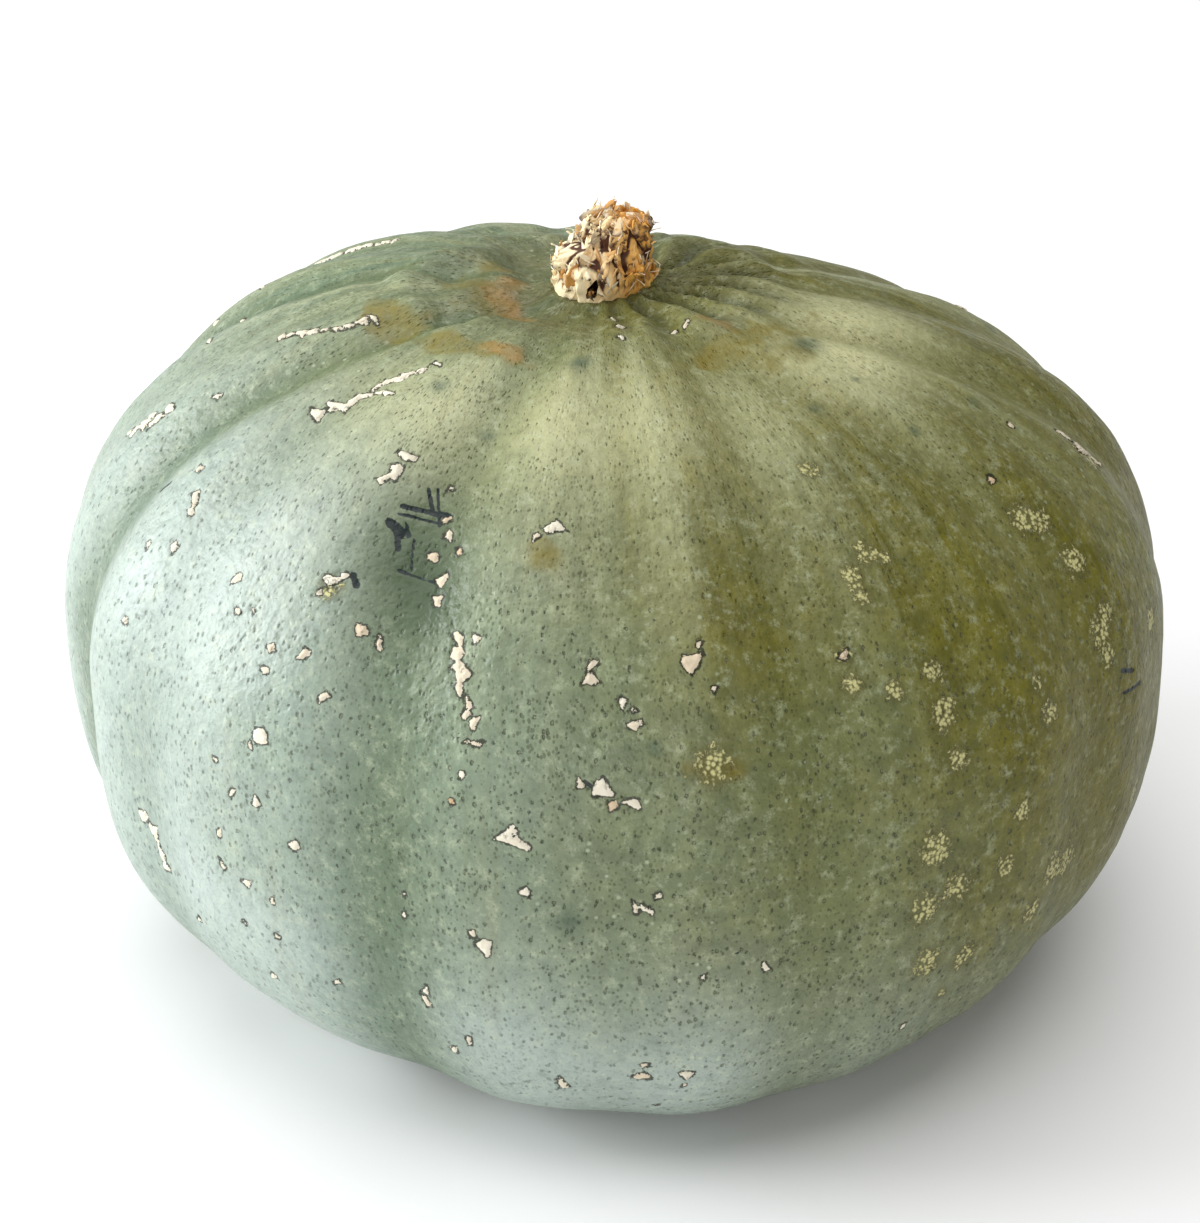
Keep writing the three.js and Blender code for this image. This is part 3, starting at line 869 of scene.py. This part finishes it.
# How dark the core is painted in its crevices: partly the cork's own brown, partly painted shade.
core_crevice_and_shade = np.clip(0.62 - ridges, 0, 1) * 1.6 * (1 - 0.7 * at_foot)
core = core + outward * (push * on_side)[:, None]
core[:, 2] += ((crumple * 1.5 + (ridges - 0.8) * 1.0) * MM - 0.9 * MM) * (1 - on_side)
core[:, 2] -= 1.6 * MM * ease(core_rise, 1.2, 1.9)
core_faces = []
rows = len(core) // STEM_SIDES
for row in range(rows - 1):
    for side in range(STEM_SIDES):
        after = (side + 1) % STEM_SIDES
        low, high = row * STEM_SIDES, (row + 1) * STEM_SIDES
        core_faces.append((low + side, low + after, high + after, high + side))
core_faces.append(tuple(range(STEM_SIDES))[::-1])
core_faces.append(tuple((rows - 1) * STEM_SIDES + side for side in range(STEM_SIDES)))
cork_points = [core]
cork_faces = list(core_faces)
cork_tones = [np.full(len(core), 0.45) + 0.3 * crumple]
cork_crevice_and_shade = [core_crevice_and_shade * on_side]

# The flakes: thin curled leaves of cork, each a closed shell, standing on the core at a slant.
FLAKE_STEPS = 7
FLAKE_THICKNESS = 0.32 * MM


def add_leaf(foot, along, across, out, length, width, curl, tone):
    """One closed curled leaf, from its foot along its length."""
    first = sum(len(part) for part in cork_points)
    steps = np.linspace(0, 1, FLAKE_STEPS + 1)
    edge = cork_chance.uniform(0.7, 1.1, (2, FLAKE_STEPS + 1))
    breadth = np.sin(np.pi * (0.2 + 0.76 * steps)) ** 0.9
    leaf = []
    for layer in (0.5, -0.5):
        for place_across in (-1, -0.35, 0.35, 1):
            sideways = edge[0] if place_across < 0 else edge[1]
            cup = abs(place_across) ** 2 * width * 0.28 * curl[1]
            bend = curl[0] * length * (steps ** 2) * 0.5
            leaf.append(
                foot
                + along * (steps * length)[:, None]
                + across * (place_across * breadth * sideways * width / 2)[:, None]
                + out * (bend + cup + layer * FLAKE_THICKNESS * (1 - 0.75 * abs(place_across)))[:, None]
            )
    cork_points.append(np.concatenate(leaf))
    line = FLAKE_STEPS + 1
    for strip in range(3):
        for step in range(FLAKE_STEPS):
            corner = first + strip * line + step
            cork_faces.append((corner, corner + 1, corner + line + 1, corner + line))
            under = corner + 4 * line
            cork_faces.append((under, under + line, under + line + 1, under + 1))
    for step in range(FLAKE_STEPS):
        for strip, flip in ((0, True), (3, False)):
            corner = first + strip * line + step
            wall = (corner, corner + 4 * line, corner + 4 * line + 1, corner + 1)
            cork_faces.append(wall if flip else wall[::-1])
    for strip in range(3):
        for step, flip in ((0, False), (FLAKE_STEPS, True)):
            corner = first + strip * line + step
            wall = (corner, corner + line, corner + 5 * line, corner + 4 * line)
            cork_faces.append(wall[::-1] if flip else wall)
    cork_tones.append(np.full(8 * line, tone))
    # Each flake is painted darker towards its foot, as painted shade where it meets the core.
    cork_crevice_and_shade.append(np.tile(0.52 * (1 - steps) ** 1.6, 8))


core_normals = np.zeros_like(core)
for a, b, c, d in core_faces[:-2]:
    face_normal = np.cross(core[b] - core[a], core[d] - core[a])
    core_normals[[a, b, c, d]] += face_normal
core_normals /= np.maximum(np.linalg.norm(core_normals, axis=1), 1e-12)[:, None]
for number in range(FLAKE_COUNT):
    index = int(cork_chance.integers(2 * STEM_SIDES, len(core) - 12 * STEM_SIDES))
    out = core_normals[index]
    upright = np.array([0, 0, 1.0]) if abs(out[2]) < 0.75 else cork_chance.normal(0, 1, 3)
    upright = upright + cork_chance.normal(0, 0.32, 3)
    if cork_chance.random() < 0.12:
        upright = -upright
    across = np.cross(upright, out)
    across = across / np.linalg.norm(across)
    along = np.cross(out, across)
    slant = cork_chance.uniform(0.0, 0.34)
    lean = float(ease(core[index][2], 0.5 * STEM_HEIGHT, 0.9 * STEM_HEIGHT))
    along = along * math.cos(slant) + out * math.sin(slant) - outward[index] * lean * 1.3
    along = along / np.linalg.norm(along)
    across = np.cross(along, out)
    across = across / np.linalg.norm(across)
    over = np.cross(along, across)
    over = over if over @ out > 0 else -over
    length = cork_chance.uniform(3, 6.2) * MM
    width = length * cork_chance.uniform(0.36, 0.6)
    curl = (cork_chance.uniform(-0.8, 0.9), cork_chance.uniform(-1.5, 1.3))
    foot = core[index] - out * 0.4 * MM - along * length * 0.35
    add_leaf(foot, along, across, over, length, width, curl, cork_chance.uniform(0, 1))
for number in range(FIBRE_COUNT):
    index = int(cork_chance.integers(2 * STEM_SIDES, len(core) - 20 * STEM_SIDES))
    out = core_normals[index]
    along = cork_chance.normal(0, 1, 3) + [0, 0, 0.8]
    along = along / np.linalg.norm(along) + out * 0.5
    along = along / np.linalg.norm(along)
    across = np.cross(along, out)
    across = across / np.linalg.norm(across)
    length = cork_chance.uniform(2.5, 5.5) * MM
    curl = (cork_chance.uniform(-0.8, 0.8), 0)
    add_leaf(core[index], along, across, np.cross(along, across), length, 0.4 * MM, curl, 0.1)

cork = np.concatenate(cork_points)
stem_room = [np.array(stem_low) - stem_foot, np.array(stem_high) - stem_foot]
cork = np.clip(cork, stem_room[0] + [-0.4 * MM, -0.4 * MM, 0], stem_room[1] + [0.4 * MM, 0.4 * MM, 0])
cork_mesh = bpy.data.meshes.new("stem_cork")
cork_mesh.from_pydata((cork + stem_foot).tolist(), [], cork_faces)
cork_mesh.update()
store(cork_mesh, "tone", np.concatenate(cork_tones))
store(cork_mesh, "crevice_and_shade", np.concatenate(cork_crevice_and_shade))
cork_mesh.polygons.foreach_set("use_smooth", [True] * len(cork_mesh.polygons))
stem = bpy.data.objects.new("stem_cork", cork_mesh)
bpy.context.scene.collection.objects.link(stem)

# Cork: cream on the left, golden ochre on the right, and purple brown down in the crevices and
# at the flakes' feet, partly the cork's own colour and partly painted shade.
cork_finish, cork_tree, cork_shader = new_finish("papery_cork")
cork_place = wire(cork_tree, "ShaderNodeTexCoord", {}).outputs["Object"]
cork_tone = mark_of(cork_tree, "tone")
cork_blotch = cloud(cork_tree, cork_place, 300, 3)
x_place = wire(cork_tree, "ShaderNodeSeparateXYZ", {"Vector": cork_place}).outputs["X"]
golden = between(cork_tree, x_place, float(stem_foot[0] - 9 * MM), float(stem_foot[0] + 6 * MM))
golden = sum_up(
    cork_tree, "MULTIPLY_ADD", cork_blotch, 0.5, sum_up(cork_tree, "SUBTRACT", golden, 0.25), clamp=True,
)
cork_colour = paint(cork_tree, golden, colour(250, 232, 190), colour(238, 180, 84))
cork_colour = paint(cork_tree, between(cork_tree, cork_tone, 0.55, 0.95), cork_colour, colour(196, 142, 70))
cork_colour = paint(cork_tree, between(cork_tree, cork_tone, 0.3, 0.0), cork_colour, colour(240, 230, 208))
# Crevices and flake feet painted purple brown: partly the cork's own colour, partly painted shade.
deep = sum_up(
    cork_tree, "MULTIPLY_ADD", cork_blotch, 0.6,
    sum_up(cork_tree, "SUBTRACT", mark_of(cork_tree, "crevice_and_shade"), 0.3),
)
cork_colour = paint(cork_tree, between(cork_tree, deep, 0.18, 0.6), cork_colour, colour(78, 42, 22))
cork_tree.links.new(cork_colour, cork_shader.inputs["Base Color"])
cork_gloss = sum_up(cork_tree, "MULTIPLY_ADD", cork_blotch, 0.25, 0.62)
cork_tree.links.new(cork_gloss, cork_shader.inputs["Roughness"])
cork_grain = cloud(cork_tree, cork_place, 1400, 3)
cork_bumps = wire(cork_tree, "ShaderNodeBump", {"Height": cork_grain, "Strength": 0.5, "Distance": 0.0003})
cork_tree.links.new(cork_bumps.outputs["Normal"], cork_shader.inputs["Normal"])
cork_mesh.materials.append(cork_finish)
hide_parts("stem")
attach(stem, "root")

# ---------------------------------------------------------------------------------------------
# The stage: a plain pale floor, and a soft studio. A big cool window on the left, a weaker
# white fill from the front, and a soft top light.
# ---------------------------------------------------------------------------------------------
FLOOR_SIZE = 60
floor_mesh = bpy.data.meshes.new("floor")
corner = FLOOR_SIZE / 2
floor_mesh.from_pydata(
    [(-corner, -corner, 0), (corner, -corner, 0), (corner, corner, 0), (-corner, corner, 0)],
    [],
    [(0, 1, 2, 3)],
)
floor = bpy.data.objects.new("floor", floor_mesh)
bpy.context.scene.collection.objects.link(floor)
floor_finish, floor_tree, floor_shader = new_finish("pale_floor")
floor_shader.inputs["Base Color"].default_value = colour(242, 242, 242)
floor_shader.inputs["Roughness"].default_value = 0.7
floor_mesh.materials.append(floor_finish)

LIGHTS = [
    ("left_window", (-1.55, 0.15, 0.55), 1.0, 32, (0.95, 0.98, 1.0)),
    ("front_fill", (-0.3, -1.6, 0.3), 1.0, 11, (1.0, 1.0, 1.0)),
]
aim = Vector(girth_centre.tolist())
for name, place_of_light, size, power, tint in LIGHTS:
    lamp = bpy.data.lights.new(name, "AREA")
    lamp.size = size
    lamp.energy = power
    lamp.color = tint
    light = bpy.data.objects.new(name, lamp)
    light.location = aim + Vector(place_of_light)
    light.rotation_euler = (aim - light.location).to_track_quat("-Z", "Y").to_euler()
    bpy.context.scene.collection.objects.link(light)
sky_lamp = bpy.data.lights.new("ceiling", "SUN")
sky_lamp.energy = 2.4
sky_lamp.angle = math.radians(70)
ceiling = bpy.data.objects.new("ceiling", sky_lamp)
ceiling.rotation_euler = (math.radians(-12), 0, 0)
bpy.context.scene.collection.objects.link(ceiling)
world = bpy.data.worlds.new("studio")
world.use_nodes = True
world.node_tree.nodes["Background"].inputs["Color"].default_value = (1, 1, 1, 1)
world.node_tree.nodes["Background"].inputs["Strength"].default_value = 0.2
bpy.context.scene.world = world
bpy.context.scene.view_settings.view_transform = "Standard"

CAMERA_DISTANCE = 850 * MM
CAMERA_LIFT = math.radians(27.37)
CAMERA_SHIFT = (-3.2 * MM, -8.73 * MM)
CAMERA_LENS = 90.4
camera_data = bpy.data.cameras.new("camera")
camera_data.lens = CAMERA_LENS
camera_data.sensor_width = 36
back = Vector((0, -math.cos(CAMERA_LIFT), math.sin(CAMERA_LIFT)))
up = Vector((0, math.sin(CAMERA_LIFT), math.cos(CAMERA_LIFT)))
camera = bpy.data.objects.new("camera", camera_data)
camera.location = aim + back * CAMERA_DISTANCE + Vector((CAMERA_SHIFT[0], 0, 0)) + up * CAMERA_SHIFT[1]
camera.rotation_euler = back.to_track_quat("Z", "Y").to_euler()
bpy.context.scene.collection.objects.link(camera)
bpy.context.scene.camera = camera
